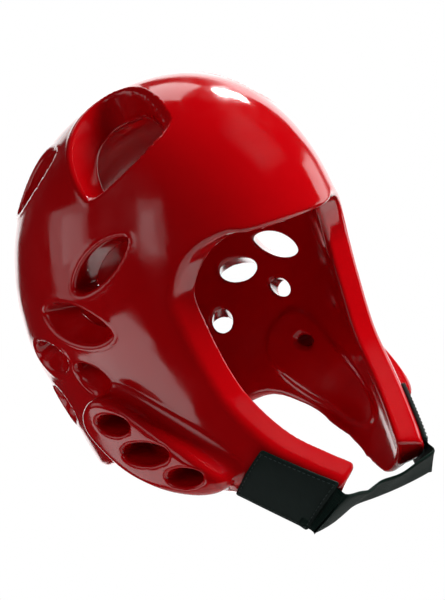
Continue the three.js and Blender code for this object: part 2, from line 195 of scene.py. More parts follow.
floor_mesh = bmesh.new()
bmesh.ops.create_circle(floor_mesh, cap_ends=True, segments=96, radius=FLOOR_RADIUS)
bmesh.ops.translate(floor_mesh, vec=(0, 0, cad_low.z - FLOOR_DROP), verts=floor_mesh.verts)
floor_data = bpy.data.meshes.new("floor")
floor_mesh.to_mesh(floor_data)
floor_mesh.free()
floor = bpy.data.objects.new("floor", floor_data)
bpy.context.scene.collection.objects.link(floor)


# %% [markdown]
# ## Materials
# Colours are read off the part as sRGB hex, the way a paint or picture program shows them, and turned into
# the linear values that the renderer adds up.

# %% Helpers: colour, node and material
def linear(hex_colour):
    """Linear RGBA of an sRGB hex colour such as #B40010."""
    shares = [int(hex_colour[i : i + 2], 16) / 255 for i in (1, 3, 5)]
    return tuple(((c + 0.055) / 1.055) ** 2.4 if c > 0.04045 else c / 12.92 for c in shares) + (1,)


def add_node(tree, kind, links=None, **settings):
    """Adds a node. links gives each input, by name or number, a socket to be linked or a value."""
    made = tree.nodes.new(kind)
    for name, value in settings.items():
        setattr(made, name, value)
    for name, value in (links or {}).items():
        if isinstance(value, bpy.types.NodeSocket):
            tree.links.new(value, made.inputs[name])
        else:
            made.inputs[name].default_value = value
    return made


def new_material(name):
    """An empty node material and its tree."""
    made = bpy.data.materials.new(name)
    made.use_nodes = True
    made.node_tree.nodes.clear()
    return made, made.node_tree


def per_mm(spacing):
    """Scale of a pattern whose features lie this many millimetres apart, on coordinates in metres."""
    return 1 / (spacing * MM)


def bands_per_mm(spacing):
    """Scale of a wave pattern whose bands lie this many millimetres apart, on coordinates in metres."""
    return 2 * math.pi / (20 * spacing * MM)


# %% Pale floor paint
floor_paint, tree = new_material("matt_white_paint")
shader = add_node(tree, "ShaderNodeBsdfPrincipled", {"Base Color": linear("#F4F4F2"), "Roughness": 0.9})
add_node(tree, "ShaderNodeOutputMaterial", {"Surface": shader.outputs[0]})
floor.data.materials.append(floor_paint)

# %% [markdown]
# ### Dipped vinyl
# The foam is dipped several times in plasticised PVC, pigmented a deep red. The coat is smooth and shines
# like wet paint, with an IOR of 1.53 as PVC has. It follows the foam beneath, so it isn't flat: broad shallow
# waves bend the reflections, a fine orange peel softens them, and smears make some places duller.

# %% Dipped vinyl skin
vinyl, tree = new_material("dipped_vinyl_red")
place = add_node(tree, "ShaderNodeTexCoord").outputs["Object"]
depth_tone = add_node(
    tree,
    "ShaderNodeTexNoise",
    {"Vector": place, "Scale": per_mm(70), "Detail": 2.0, "Roughness": 0.5},
)
pigment = add_node(
    tree,
    "ShaderNodeMix",
    {"Factor": depth_tone.outputs["Fac"], 6: linear("#A80006"), 7: linear("#B60209")},
    data_type="RGBA",
)
smears = add_node(
    tree,
    "ShaderNodeTexNoise",
    {"Vector": place, "Scale": per_mm(18), "Detail": 4.0, "Roughness": 0.6},
)
shine = add_node(
    tree,
    "ShaderNodeMapRange",
    {"Value": smears.outputs["Fac"], "From Min": 0.35, "From Max": 0.75, "To Min": 0.08, "To Max": 0.2},
)
waves = add_node(
    tree,
    "ShaderNodeTexNoise",
    {"Vector": place, "Scale": per_mm(26), "Detail": 1.5, "Roughness": 0.45},
)
peel = add_node(
    tree,
    "ShaderNodeTexNoise",
    {"Vector": place, "Scale": per_mm(2.4), "Detail": 1.0, "Roughness": 0.5},
)
wave_bump = add_node(
    tree,
    "ShaderNodeBump",
    {"Strength": 1.0, "Distance": 0.45 * MM, "Height": waves.outputs["Fac"]},
)
peel_bump = add_node(
    tree,
    "ShaderNodeBump",
    {
        "Strength": 1.0,
        "Distance": 0.012 * MM,
        "Height": peel.outputs["Fac"],
        "Normal": wave_bump.outputs["Normal"],
    },
)
shader = add_node(
    tree,
    "ShaderNodeBsdfPrincipled",
    {
        "Base Color": pigment.outputs[2],
        "Roughness": shine.outputs["Result"],
        "IOR": 1.53,
        "Normal": peel_bump.outputs["Normal"],
    },
)
add_node(tree, "ShaderNodeOutputMaterial", {"Surface": shader.outputs[0]})

# %% [markdown]
# ### Coated tab cloth and elastic webbing
# The tab is knitted polyester with a soft polyurethane coat: nearly black with a cold tint, matt, and covered
# by a very fine knit. The strap is woven elastic: rubber cores run along it in ribs 1.6 mm apart, and the
# weft crosses them every 1.1 mm. Both show as rows of small ridges.

# %% Coated tab cloth
tab_cloth, tree = new_material("coated_knit_black")
place = add_node(tree, "ShaderNodeTexCoord").outputs["UV"]
knit = add_node(
    tree,
    "ShaderNodeTexWave",
    {"Vector": place, "Scale": bands_per_mm(1.3), "Distortion": 1.2, "Detail": 2.0},
    wave_type="BANDS",
    bands_direction="DIAGONAL",
)
worn = add_node(
    tree,
    "ShaderNodeTexNoise",
    {"Vector": place, "Scale": per_mm(9), "Detail": 3.0},
)
tone = add_node(
    tree,
    "ShaderNodeMix",
    {"Factor": worn.outputs["Fac"], 6: linear("#03100E"), 7: linear("#081A16")},
    data_type="RGBA",
)
knit_bump = add_node(
    tree,
    "ShaderNodeBump",
    {"Strength": 0.6, "Distance": 0.08 * MM, "Height": knit.outputs["Fac"]},
)
shader = add_node(
    tree,
    "ShaderNodeBsdfPrincipled",
    {
        "Base Color": tone.outputs[2],
        "Roughness": 0.8,
        "IOR": 1.4,
        "Normal": knit_bump.outputs["Normal"],
    },
)
add_node(tree, "ShaderNodeOutputMaterial", {"Surface": shader.outputs[0]})

# %% Elastic webbing
webbing, tree = new_material("woven_elastic_black")
place = add_node(tree, "ShaderNodeTexCoord").outputs["UV"]
ribs = add_node(
    tree,
    "ShaderNodeTexWave",
    {"Vector": place, "Scale": bands_per_mm(1.6)},
    wave_type="BANDS",
    bands_direction="Y",
)
weft = add_node(
    tree,
    "ShaderNodeTexWave",
    {"Vector": place, "Scale": bands_per_mm(1.1)},
    wave_type="BANDS",
    bands_direction="X",
)
weave = add_node(
    tree,
    "ShaderNodeMath",
    {0: ribs.outputs["Fac"], 1: weft.outputs["Fac"]},
    operation="MULTIPLY",
)
tone = add_node(
    tree,
    "ShaderNodeMix",
    {"Factor": weave.outputs[0], 6: linear("#04120F"), 7: linear("#12261F")},
    data_type="RGBA",
)
weave_bump = add_node(
    tree,
    "ShaderNodeBump",
    {"Strength": 0.8, "Distance": 0.12 * MM, "Height": weave.outputs[0]},
)
shader = add_node(
    tree,
    "ShaderNodeBsdfPrincipled",
    {
        "Base Color": tone.outputs[2],
        "Roughness": 0.8,
        "IOR": 1.4,
        "Specular IOR Level": 0.25,
        "Normal": weave_bump.outputs["Normal"],
    },
)
add_node(tree, "ShaderNodeOutputMaterial", {"Surface": shader.outputs[0]})

# %% Sewing thread
thread, tree = new_material("polyester_thread_grey")
shader = add_node(tree, "ShaderNodeBsdfPrincipled", {"Base Color": linear("#1C2B29"), "Roughness": 0.55})
add_node(tree, "ShaderNodeOutputMaterial", {"Surface": shader.outputs[0]})

# %% [markdown]
# ## The shell's form
# A mould maker would draw the shell as a few smooth forms: the outer skin, the same skin set in by the foam's
# thickness, and the cuts. The same is done here with numbers. Each form is a distance field, a function that
# says how far a point lies outside it, in millimetres. Cuts and joins between two fields can be rounded by a
# radius, and that gives the soft edges that dipping leaves. The sizes are the CAD model's own.

# %% Sizes of the shell
HALF_WIDTH = 98
FRONT_REACH = 104
BACK_REACH = 135
DOME_HEIGHT = 125
SKIRT_DEPTH = 158
WALL = 20
APEX_FORWARD = 9
DOME_BEND = 2.2
EQUATOR = WALL - DOME_HEIGHT
SHELL_BOTTOM = EQUATOR - SKIRT_DEPTH
BEYOND = 60

PAD_RISE = 18
PAD_HALF_LENGTH = 57
PAD_HALF_WIDTH = 23
PAD_HOLE_DEPTH = 22
CLEARANCE = 0.3

# Rows: depth share, then width, front, back, side wall and front wall as shares
SECTIONS = np.array([
    (0.00, 1.000, 1.00, 1.00, 1.00, 0.72),
    (0.20, 0.948, 1.01, 0.98, 1.00, 0.72),
    (0.45, 0.880, 1.01, 0.93, 1.00, 0.70),
    (0.70, 0.845, 1.01, 0.84, 1.05, 0.62),
    (0.85, 0.750, 1.06, 0.78, 1.25, 0.60),
    (1.00, 0.655, 1.08, 0.74, 1.45, 0.60),
])
WIDTH, FRONT, BACK, SIDE_WALL, FRONT_WALL = 1, 2, 3, 4, 5


# %% [markdown]
# The skin is an egg: an upright ellipse round the widest level, rounded over by a dome above it, and drawn in
# below it by the table of sections. `skin_level` is 1 on the skin, less inside and more outside. Dividing
# by its slope turns it into a distance.

# %% The skin as a field
def section_value(column, depth):
    """A column of the table at each depth share, on a smooth curve through its rows."""
    rows = SECTIONS
    at = np.clip(depth, 0, 1)
    row = np.clip(np.searchsorted(rows[:, 0], at, side="left") - 1, 0, len(rows) - 2)
    before = rows[np.maximum(np.arange(len(rows)) - 1, 0)]
    after = rows[np.minimum(np.arange(len(rows)) + 1, len(rows) - 1)]
    slope = (after[:, column] - before[:, column]) / (after[:, 0] - before[:, 0])
    slope[0] = 0
    span = rows[row + 1, 0] - rows[row, 0]
    t = (at - rows[row, 0]) / span
    ease = t * t * (3 - 2 * t)
    level = rows[row, column] * (1 - ease) + rows[row + 1, column] * ease
    return level + t * (1 - t) * span * ((1 - t) * slope[row] - t * slope[row + 1])


def skin_level(points, inset):
    """1 on the skin that is set in by a depth of foam, or out by a negative one."""
    x, y, z = points.T
    depth = (EQUATOR - z) / SKIRT_DEPTH
    thins = inset > 0
    side = inset * section_value(SIDE_WALL, depth) if thins else inset
    front = inset * section_value(FRONT_WALL, depth) if thins else inset
    half = HALF_WIDTH * section_value(WIDTH, depth) - side
    forward = FRONT_REACH * section_value(FRONT, depth) - front
    rearward = BACK_REACH * section_value(BACK, depth) - inset
    up = np.maximum(z - EQUATOR, 0) / (DOME_HEIGHT - inset)
    along = y + APEX_FORWARD * up
    ring = np.hypot(x / half, along / np.where(along < 0, forward, rearward))
    return (ring**DOME_BEND + up**DOME_BEND) ** (1 / DOME_BEND)


def skin_gap(points, inset=0.0):
    """Distance outside the skin, from its level and the level's slope."""
    step = 0.25
    level = skin_level(points, inset)
    slope = [(skin_level(points + step * axis, inset) - level) / step for axis in np.eye(3)]
    return (level - 1) / np.linalg.norm(slope, axis=0)


# %% [markdown]
# The cuts are outlines. Most are drawn as seen from the side, as a pattern cutter would draw them, and run
# across the whole head. `outline_gap` measures how far a point lies outside a closed outline.

# %% Outlines and how they combine
def smooth_line(points, steps, closed=False):
    """Points of an even curve through the given ones."""
    knots = np.array(points, float)
    count = len(knots)
    spans = count if closed else count - 1
    line = []
    for s in np.arange(steps + (not closed)) / steps * spans:
        i = min(int(s), spans - 1)
        t = s - i
        picks = [i - 1, i, i + 1, i + 2]
        picks = [k % count if closed else min(max(k, 0), count - 1) for k in picks]
        a, b, c, d = knots[picks]
        line.append(
            b
            + 0.5 * t * (c - a)
            + t * t * (a - 2.5 * b + 2 * c - 0.5 * d)
            + t**3 * (1.5 * (b - c) + 0.5 * (d - a))
        )
    return np.array(line)


def outline_gap(points, outline):
    """Distance outside a closed outline in a plane, negative inside it."""
    nearest = np.full(len(points), np.inf)
    inside = np.zeros(len(points), bool)
    for a, b in zip(outline, np.roll(outline, -1, axis=0)):
        edge = b - a
        away = points - a
        t = np.clip(away @ edge / (edge @ edge), 0, 1)
        nearest = np.minimum(nearest, ((away - t[:, None] * edge) ** 2).sum(1))
        crosses = (a[1] > points[:, 1]) != (b[1] > points[:, 1])
        if a[1] != b[1]:
            meet = a[0] + (points[:, 1] - a[1]) / (b[1] - a[1]) * edge[0]
            inside ^= crosses & (points[:, 0] < meet)
    return np.where(inside, -1, 1) * np.sqrt(nearest)


def outline_field(outline, low, high, cell):
    """A function that reads an outline's distance off a grid, which is far quicker than measuring it."""
    low = np.array(low, float)
    counts = np.ceil((np.array(high) - low) / cell).astype(int) + 1
    columns = low[0] + cell * np.arange(counts[0])
    rows = low[1] + cell * np.arange(counts[1])
    places = np.stack(np.meshgrid(columns, rows, indexing="ij"), -1).reshape(-1, 2)
    grid = outline_gap(places, outline).reshape(counts)

    def read(points):
        at = np.clip((points - low) / cell, 0, counts - 1.001)
        i, j = at.astype(int).T
        s, t = (at - at.astype(int)).T
        below = grid[i, j] * (1 - s) + grid[i + 1, j] * s
        above = grid[i, j + 1] * (1 - s) + grid[i + 1, j + 1] * s
        return below * (1 - t) + above * t

    return read


def rounded_cut(body, cutter, radius):
    """Body less cutter, with the edge between them rounded."""
    away = -cutter
    corner = np.hypot(np.maximum(radius + body, 0), np.maximum(radius + away, 0))
    return np.minimum(-radius, np.maximum(body, away)) + corner


def rounded_join(body, other, radius):
    """Body and other together, with a fillet between them."""
    corner = np.hypot(np.maximum(radius - body, 0), np.maximum(radius - other, 0))
    return np.maximum(radius, np.minimum(body, other)) - corner


def side_place(reach, drop):
    """A place seen from the side: y and z in mm from shares of the front reach and the skirt's depth."""
    return -reach * FRONT_REACH, EQUATOR - drop * SKIRT_DEPTH


# %% Edges of the shell, seen from the side as (reach, drop) and from the front as (across, drop)
FACE_EDGE = [
    (1.60, -0.055), (1.00, -0.058), (0.86, -0.092), (0.72, -0.060), (0.605, 0.040), (0.575, 0.140),
    (0.570, 0.360), (0.600, 0.500), (0.700, 0.670), (0.810, 0.790), (0.880, 0.860), (0.920, 0.930),
    (0.940, 1.060),
]
# Reach, drop, and the slant by which the edge falls towards the middle of the head
LOWER_EDGE = [
    (-1.90, 0.575, 0.00), (-0.80, 0.575, 0.00), (-0.43, 0.570, 0.00), (-0.20, 0.650, 0.15),
    (0.00, 0.730, 0.55), (0.20, 0.775, 0.52), (0.31, 0.790, 0.62), (0.38, 0.805, 0.67),
    (0.44, 0.840, 0.56), (0.50, 0.885, 0.40), (0.60, 0.940, 0.20), (0.72, 0.967, 0.00),
    (0.90, 0.955, 0.00), (1.60, 0.900, 0.00),
]
TIP_EDGE = [(0.00, 0.800), (0.17, 0.850), (0.36, 0.915), (0.49, 0.970), (0.60, 1.200)]
TIP_REACH = 0.90
TIP_FALL = 0.8

face_line = smooth_line([side_place(*p) for p in FACE_EDGE], 60)
far_front = -FRONT_REACH - 2 * BEYOND
face_cut = np.vstack([
    face_line,
    (face_line[-1][0], SHELL_BOTTOM - BEYOND),
    (far_front, SHELL_BOTTOM - BEYOND),
    (far_front, face_line[0][1]),
])

lower_knots = np.array([side_place(*p[:2]) for p in LOWER_EDGE])
lower_slant = np.array([p[2] for p in LOWER_EDGE])
lower_line = smooth_line(lower_knots, 50)
lower_cut = np.vstack([
    lower_line,
    (lower_line[-1][0], SHELL_BOTTOM - 2 * BEYOND),
    (lower_line[0][0], SHELL_BOTTOM - 2 * BEYOND),
])
WALL_MIDDLE = 0.8 * HALF_WIDTH - WALL / 2
SIDE_LOW = (-130, -285)
SIDE_HIGH = (150, 35)
face_gap = outline_field(face_cut, SIDE_LOW, SIDE_HIGH, 1.0)
lower_gap = outline_field(lower_cut, SIDE_LOW, SIDE_HIGH, 1.0)

tip_line = smooth_line([(a * HALF_WIDTH, EQUATOR - d * SKIRT_DEPTH) for a, d in TIP_EDGE], 24)
tip_cut = np.vstack([tip_line, (0, tip_line[-1][1])])
tip_gap = outline_field(tip_cut, (-5, -310), (125, -190), 1.0)
print("outline grids ready")


# %% [markdown]
# Each vent goes through the wall square to the skin. Its own small frame has one axis along the vent, one
# across it and one straight out. The big front vents are half-moons, the others lenses and ovals, and all
# are a little narrower inside, where the mould's pins were tapered so that the foam could be pulled off.

# %% Vents
MOON_BOW = 0.12
MOON_SET = 0.33
MOON_LEAN = 0.23

# Form, bearing from the front in degrees, level share, length and width shares, turn in degrees, taper,
# and how far the inner end lies ahead of and above the outer end
VENTS = [
    ("half_moon", 58.5, 0.775, 0.75, 0.78, 33, 0.30, 0.00, 0.00),
    ("lens", 124, 0.740, 0.72, 0.32, 24, 0.20, 0.00, 0.00),
    ("lens", 73, 0.205, 0.54, 0.19, 20, 0.20, 0.00, 0.00),
    ("lens", 95, -0.005, 0.66, 0.26, -27, 0.38, 0.04, 0.01),
    ("oval", 122, -0.090, 0.44, 0.23, -12, 0.33, 0.09, 0.06),
    ("oval", 101, -0.225, 0.32, 0.19, -35, 0.42, 0.05, 0.07),
    ("oval", 137, -0.280, 0.23, 0.26, 0, 0.38, 0.10, 0.09),
]


def skin_point(bearing, height):
    """Point of the outer skin on the wearer's right at a bearing from the front, in radians."""
    reach = 100.0
    way = np.array([-math.sin(bearing), -math.cos(bearing), 0])
    start = np.array([0, 0, height])
    for _ in range(40):
        reach -= skin_gap((start + reach * way)[None])[0]
    return start + reach * way


def skin_outward(point):
    """Direction straight out of the skin."""
    step = 0.05
    slope = [skin_gap((point + step * a)[None])[0] - skin_gap((point - step * a)[None])[0] for a in np.eye(3)]
    return np.array(slope) / np.linalg.norm(slope)


def vent_outline(form, long, wide):
    """Outline of a vent, long along its first axis."""
    a = np.linspace(0, 2 * math.pi, 64, endpoint=False)
    across = np.sin(a)
    along = long / 2 * np.cos(a)
    if form == "lens":
        return np.column_stack([along, wide / 2 * across * np.abs(across) ** 0.35])
    if form == "oval":
        return np.column_stack([along, wide / 2 * across])
    rise = across * np.where(across > 0, 1, MOON_BOW)
    return np.column_stack([along + wide * MOON_LEAN * np.maximum(rise, 0), wide * (rise - MOON_SET)])


vents = []
for form, bearing, level, long, wide, turn_deg, taper, ahead, above in VENTS:
    height = EQUATOR + level * (DOME_HEIGHT if level > 0 else SKIRT_DEPTH)
    centre = skin_point(math.radians(bearing), height)
    out = skin_outward(centre)
    forward = np.cross((0, 0, 1), out)
    forward /= np.linalg.norm(forward)
    upward = np.cross(out, forward)
    lean = math.radians(turn_deg)
    along = forward * math.cos(lean) + upward * math.sin(lean)
    outline = vent_outline(form, long * HALF_WIDTH, wide * HALF_WIDTH)
    widest = np.abs(outline).max() + 12
    axes = np.array([along, np.cross(out, along), out])
    vents.append({
        "centre": centre,
        "axes": axes,
        "slip": axes[:2] @ (forward * ahead + upward * above) * HALF_WIDTH / WALL,
        "gap": outline_field(outline, (-widest, -widest), (widest, widest), 0.5),
        "taper": taper,
        "reach": np.abs(outline).max() + 2.5 * WALL,
    })
print("vents on each side:", len(vents))

# %% [markdown]
# The ear guard is a raised pad with three holes. Its outline is drawn from the side like the edges, turned to
# follow the cheek guard, and its face lies on the skin moved out by the pad's height.

# %% Ear guard
PAD_MIDDLE = (0.145, 0.545)
PAD_TILT = 36
PAD_OUTLINE = [
    (-0.93, 0.10), (-0.83, -0.50), (-0.38, -0.90), (0.17, -0.93), (0.60, -0.76), (0.84, -0.42),
    (0.83, -0.06), (0.58, 0.26), (0.03, 0.70), (-0.46, 1.00), (-0.76, 0.80),
]
# Along, across, length and width shares. The first goes on through the wall at a share of its size.
PAD_HOLES = [
    (-0.44, 0.38, 0.49, 0.24),
    (-0.01, -0.04, 0.64, 0.25),
    (0.49, -0.25, 0.42, 0.21),
]
EAR_HOLE_SHARE = 0.55
PAD_HOLE_TURN = 22


def tilted(middle, tilt_deg, along, across):
    """Side view place in a frame that is turned to the cheek guard's tilt."""
    lean = math.radians(tilt_deg)
    y, z = side_place(*middle)
    return np.array([
        y - along * math.cos(lean) - across * math.sin(lean),
        z - along * math.sin(lean) + across * math.cos(lean),
    ])


pad_line = smooth_line(
    [tilted(PAD_MIDDLE, PAD_TILT, a * PAD_HALF_LENGTH, c * PAD_HALF_WIDTH) for a, c in PAD_OUTLINE],
    60,
    closed=True,
)

pad_gap = outline_field(pad_line, SIDE_LOW, SIDE_HIGH, 1.0)

pad_holes = []
depths = [(hole, 1, PAD_HOLE_DEPTH) for hole in PAD_HOLES]
depths.append((PAD_HOLES[0], EAR_HOLE_SHARE, PAD_RISE + 2 * WALL))
for (a, c, long, wide), share, depth in depths:
    centre = tilted(PAD_MIDDLE, PAD_TILT, a * PAD_HALF_LENGTH, c * PAD_HALF_WIDTH)
    lean = math.radians(PAD_TILT - PAD_HOLE_TURN)
    spin = np.linspace(0, 2 * math.pi, 48, endpoint=False)
    u = share * long / 2 * PAD_HALF_LENGTH * np.cos(spin)
    v = share * wide / 2 * PAD_HALF_LENGTH * np.sin(spin)
    outline = centre + np.column_stack([
        -u * math.cos(lean) - v * math.sin(lean),
        -u * math.sin(lean) + v * math.cos(lean),
    ])
    face_x = abs(skin_point(math.atan2(HALF_WIDTH, -centre[0]), centre[1])[0]) + PAD_RISE
    hole_gap = outline_field(outline, centre - 30, centre + 30, 0.5)
    pad_holes.append((hole_gap, face_x - depth))
print("holes in each ear guard:", len(pad_holes))

# %% [markdown]
# Now the fields are put together in the order in which the real form is built up: the wall between the two
# skins, the face, lower and chin cuts, the vents with the thin raised lip that the dip leaves round each,
# and last the ear guard and its holes. Both halves are alike, so every point is looked at as if it were on
# the wearer's right.

# %% The whole shell as one field
RIM_RADIUS = 4.0
LOWER_RADIUS = 5.0
TIP_RADIUS = 2.5
VENT_RADIUS = 2.2
LIP_HEIGHT = 0.4
LIP_OFFSET = 2.6
LIP_WIDTH = 1.7
PAD_EDGE_RADIUS = 5.5
PAD_FILLET = 7.0
HOLE_RADIUS = 1.8


def vent_gap(points, vent):
    """Distance outside a vent's tapered, leaning hole."""
    local = (points - vent["centre"]) @ vent["axes"].T
    share = np.maximum(1 + vent["taper"] * local[:, 2] / WALL, 0.3)
    flat = (local[:, :2] + local[:, 2:] * vent["slip"]) / share[:, None]
    return vent["gap"](flat) * share


def shell_gap(points):
    """Distance outside the finished shell."""
    points = np.column_stack([-np.abs(points[:, 0]), points[:, 1], points[:, 2]])
    x, y, z = points.T
    outer = skin_gap(points)
    inner = skin_gap(points, WALL)
    holes = []
    for vent in vents:
        near = np.flatnonzero(((points - vent["centre"]) ** 2).sum(1) < vent["reach"] ** 2)
        gap = vent_gap(points[near], vent)
        holes.append((near, gap))
        outer[near] -= LIP_HEIGHT * np.exp(-(((gap - LIP_OFFSET) / LIP_WIDTH) ** 2))
    body = np.maximum(outer, -inner)
    body = rounded_cut(body, face_gap(np.column_stack([y, z])), RIM_RADIUS)
    slant = np.interp(y, lower_knots[::-1, 0], lower_slant[::-1])
    leaning = z - (-x - WALL_MIDDLE) * slant
    body = rounded_cut(body, lower_gap(np.column_stack([y, leaning])), LOWER_RADIUS)
    falling = z + TIP_FALL * (y + TIP_REACH * FRONT_REACH)
    tip = np.maximum(tip_gap(np.column_stack([-x, falling])), y) / math.hypot(1, TIP_FALL)
    body = rounded_cut(body, tip, TIP_RADIUS)
    for near, gap in holes:
        body[near] = rounded_cut(body[near], gap, VENT_RADIUS)
    near = np.flatnonzero((x < -30) & (z < EQUATOR) & (y < 90))
    side = np.column_stack([y[near], z[near]])
    pad = rounded_cut(skin_gap(points[near], -PAD_RISE), -pad_gap(side), PAD_EDGE_RADIUS)
    pad = np.maximum(pad, -inner[near])
    joined = rounded_join(body[near], pad, PAD_FILLET)
    for hole_gap, floor_x in pad_holes:
        hole = np.maximum(hole_gap(side), floor_x + x[near])
        joined = rounded_cut(joined, hole, HOLE_RADIUS)
    body[near] = joined
    return body


# %% [markdown]
# The mesh itself comes from the CAD node: a copy is merged, remeshed into small even squares, and each of its
# points is then moved along the field's slope until it lies on the rounded form. A few rounds of smoothing
# between the moves keep the squares even, so that reflections run over them without a ripple.

# %% Shell mesh
VOXEL = 1.7
SMOOTH_ROUNDS = 3
SETTLE_ROUNDS = 4
SLOPE_STEP = 0.2
LONGEST_MOVE = 2.5
FLATTEST_SLOPE = 0.3


def settle(points, rounds):
    """Moves points in mm onto the shell's surface."""
    for _ in range(rounds):
        gap = shell_gap(points)
        ahead = [shell_gap(points + SLOPE_STEP * axis) for axis in np.eye(3)]
        slope = np.column_stack([(further - gap) / SLOPE_STEP for further in ahead])
        steep = np.maximum((slope**2).sum(1), FLATTEST_SLOPE)
        move = np.clip(gap / steep, -LONGEST_MOVE, LONGEST_MOVE)
        points = points - slope * move[:, None]
    return points


def merged_copy(node, name):
    """Copy of a CAD node with its loose triangles merged."""
    made = frame["nodes"][node].copy()
    made.data = made.data.copy()
    made.name = name
    made.data.name = name
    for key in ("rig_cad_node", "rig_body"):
        del made[key]
    made.parent = None
    bpy.context.scene.collection.objects.link(made)
    work = bmesh.new()
    work.from_mesh(made.data)
    bmesh.ops.remove_doubles(work, verts=work.verts, dist=0.005 * MM)
    work.to_mesh(made.data)
    work.free()
    return made


def apply_modifiers(piece):
    """Makes what the piece's modifiers give its own mesh."""
    seen = piece.evaluated_get(bpy.context.evaluated_depsgraph_get())
    made = bpy.data.meshes.new_from_object(seen)
    piece.modifiers.clear()
    piece.data = made
    return piece


shell = merged_copy("foam_shell", "dipped_foam_shell")
even = shell.modifiers.new("even_squares", "REMESH")
even.mode = "VOXEL"
even.voxel_size = VOXEL * MM
apply_modifiers(shell)

work = bmesh.new()
work.from_mesh(shell.data)
for _ in range(SMOOTH_ROUNDS):
    bmesh.ops.smooth_vert(
        work, verts=work.verts, factor=0.5, use_axis_x=True, use_axis_y=True, use_axis_z=True,
    )
    places = settle(np.array([v.co for v in work.verts]) / MM, 2)
    for vert, spot in zip(work.verts, places):
        vert.co = spot * MM
places = settle(places, SETTLE_ROUNDS)
for vert, spot in zip(work.verts, places):
    vert.co = spot * MM
work.normal_update()
for face in work.faces:
    face.smooth = True
work.to_mesh(shell.data)
work.free()
left_over = np.abs(shell_gap(places))
print("shell squares:", len(shell.data.polygons), "largest gap left in mm:", round(float(left_over.max()), 2))

shell.data.materials.clear()
shell.data.materials.append(vinyl)
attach(shell, "root")
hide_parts("foam_shell")

# %% [markdown]
# ## Anchor tabs
# Each tab is a flat patch of coated cloth with its edges turned in and stitched down all round. It lies on
# the cheek guard's outer face, so it is cut flat as a sheet with rounded corners, scored into small panels,
# and then bent: every point goes to the place on the cheek's curve that the CAD tab has.

# %% Sizes of the tabs
TAB_MIDDLE = (0.666, 0.857)
TAB_TILT = 54
TAB_LENGTH = 42.5
TAB_WIDTH = 33
TAB_THICKNESS = 3
TAB_CORNER = 1.5
HEM_WIDTH = 3.0
HEM_SINK = 0.5
HEM_EDGE = 0.5
PANEL = 2.5
STITCH_STEP = 2.6
STITCH_IN = 1.6
STITCH_SIZE = (1.7, 0.45, 0.45)
STITCH_BEVEL = 0.12


# %% Helpers: the cheek's face, and bending a flat piece
def cheek_point(y, z, out):
    """Place on the right cheek's outer face, lifted off it by a distance, in mm."""
    depth = np.array([(EQUATOR - z) / SKIRT_DEPTH])
    half = HALF_WIDTH * section_value(WIDTH, depth)[0] + out
    forward = FRONT_REACH * section_value(FRONT, depth)[0] + out
    return np.array([-half * math.sqrt(1 - (y / forward) ** 2), y, z])


def on_cheek(along, across, out):
    """Place of a tab's point, in mm, from its place on the flat sheet and its height over the cheek."""
    y, z = tilted(TAB_MIDDLE, TAB_TILT, along, across)
    return cheek_point(y, z, out)


def score(sheet, axis, low, high, step):
    """Cuts a flat sheet across an axis at even steps, so that it can bend."""
    direction = Vector((axis == 0, axis == 1, 0))
    for at in np.arange(low + step, high, step):
        geometry = sheet.verts[:] + sheet.edges[:] + sheet.faces[:]
        bmesh.ops.bisect_plane(sheet, geom=geometry, dist=1e-5, plane_co=direction * at, plane_no=direction)


def keep_flat_places(sheet):
    """Writes each point's place on the flat sheet, in metres, into the UV map."""
    layer = sheet.loops.layers.uv.new("flat")
    for face in sheet.faces:
        for loop in face.loops:
            loop[layer].uv = loop.vert.co.xy * MM


def new_piece(name, work, material, node):
    """Makes a bmesh in mm an object that stands for a CAD node."""
    bmesh.ops.scale(work, vec=(MM, MM, MM), verts=work.verts)
    for face in work.faces:
        face.smooth = True
    data = bpy.data.meshes.new(name)
    work.to_mesh(data)
    work.free()
    data.materials.append(material)
    piece = bpy.data.objects.new(name, data)
    bpy.context.scene.collection.objects.link(piece)
    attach(piece, "root")
    if node:
        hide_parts(node)
    print(name, "faces:", len(data.polygons))
    return piece


# %% Tabs
def tab_sheet():
    """Flat tab in mm: round corners, a hem that stands a little above the panel, scored to bend."""
    sheet = bmesh.new()
    bmesh.ops.create_grid(sheet, x_segments=1, y_segments=1, size=0.5)
    bmesh.ops.scale(sheet, vec=(TAB_LENGTH, TAB_WIDTH, 1), verts=sheet.verts)
    bmesh.ops.bevel(
        sheet, geom=sheet.verts[:], offset=TAB_CORNER, offset_type="OFFSET", segments=5, profile=0.5,
        affect="VERTICES", material=-1,
    )
    bmesh.ops.inset_region(sheet, faces=sheet.faces[:], thickness=HEM_WIDTH, depth=0)
    panel = max(sheet.faces, key=lambda face: face.calc_area())
    bmesh.ops.inset_region(sheet, faces=[panel], thickness=HEM_EDGE, depth=-HEM_SINK)
    score(sheet, 0, -TAB_LENGTH / 2, TAB_LENGTH / 2, PANEL)
    score(sheet, 1, -TAB_WIDTH / 2, TAB_WIDTH / 2, PANEL)
    return sheet


def mirrored(work):
    """Mirrors a bmesh to the wearer's left and turns its faces outwards again."""
    bmesh.ops.scale(work, vec=(-1, 1, 1), verts=work.verts)
    bmesh.ops.reverse_faces(work, faces=work.faces)


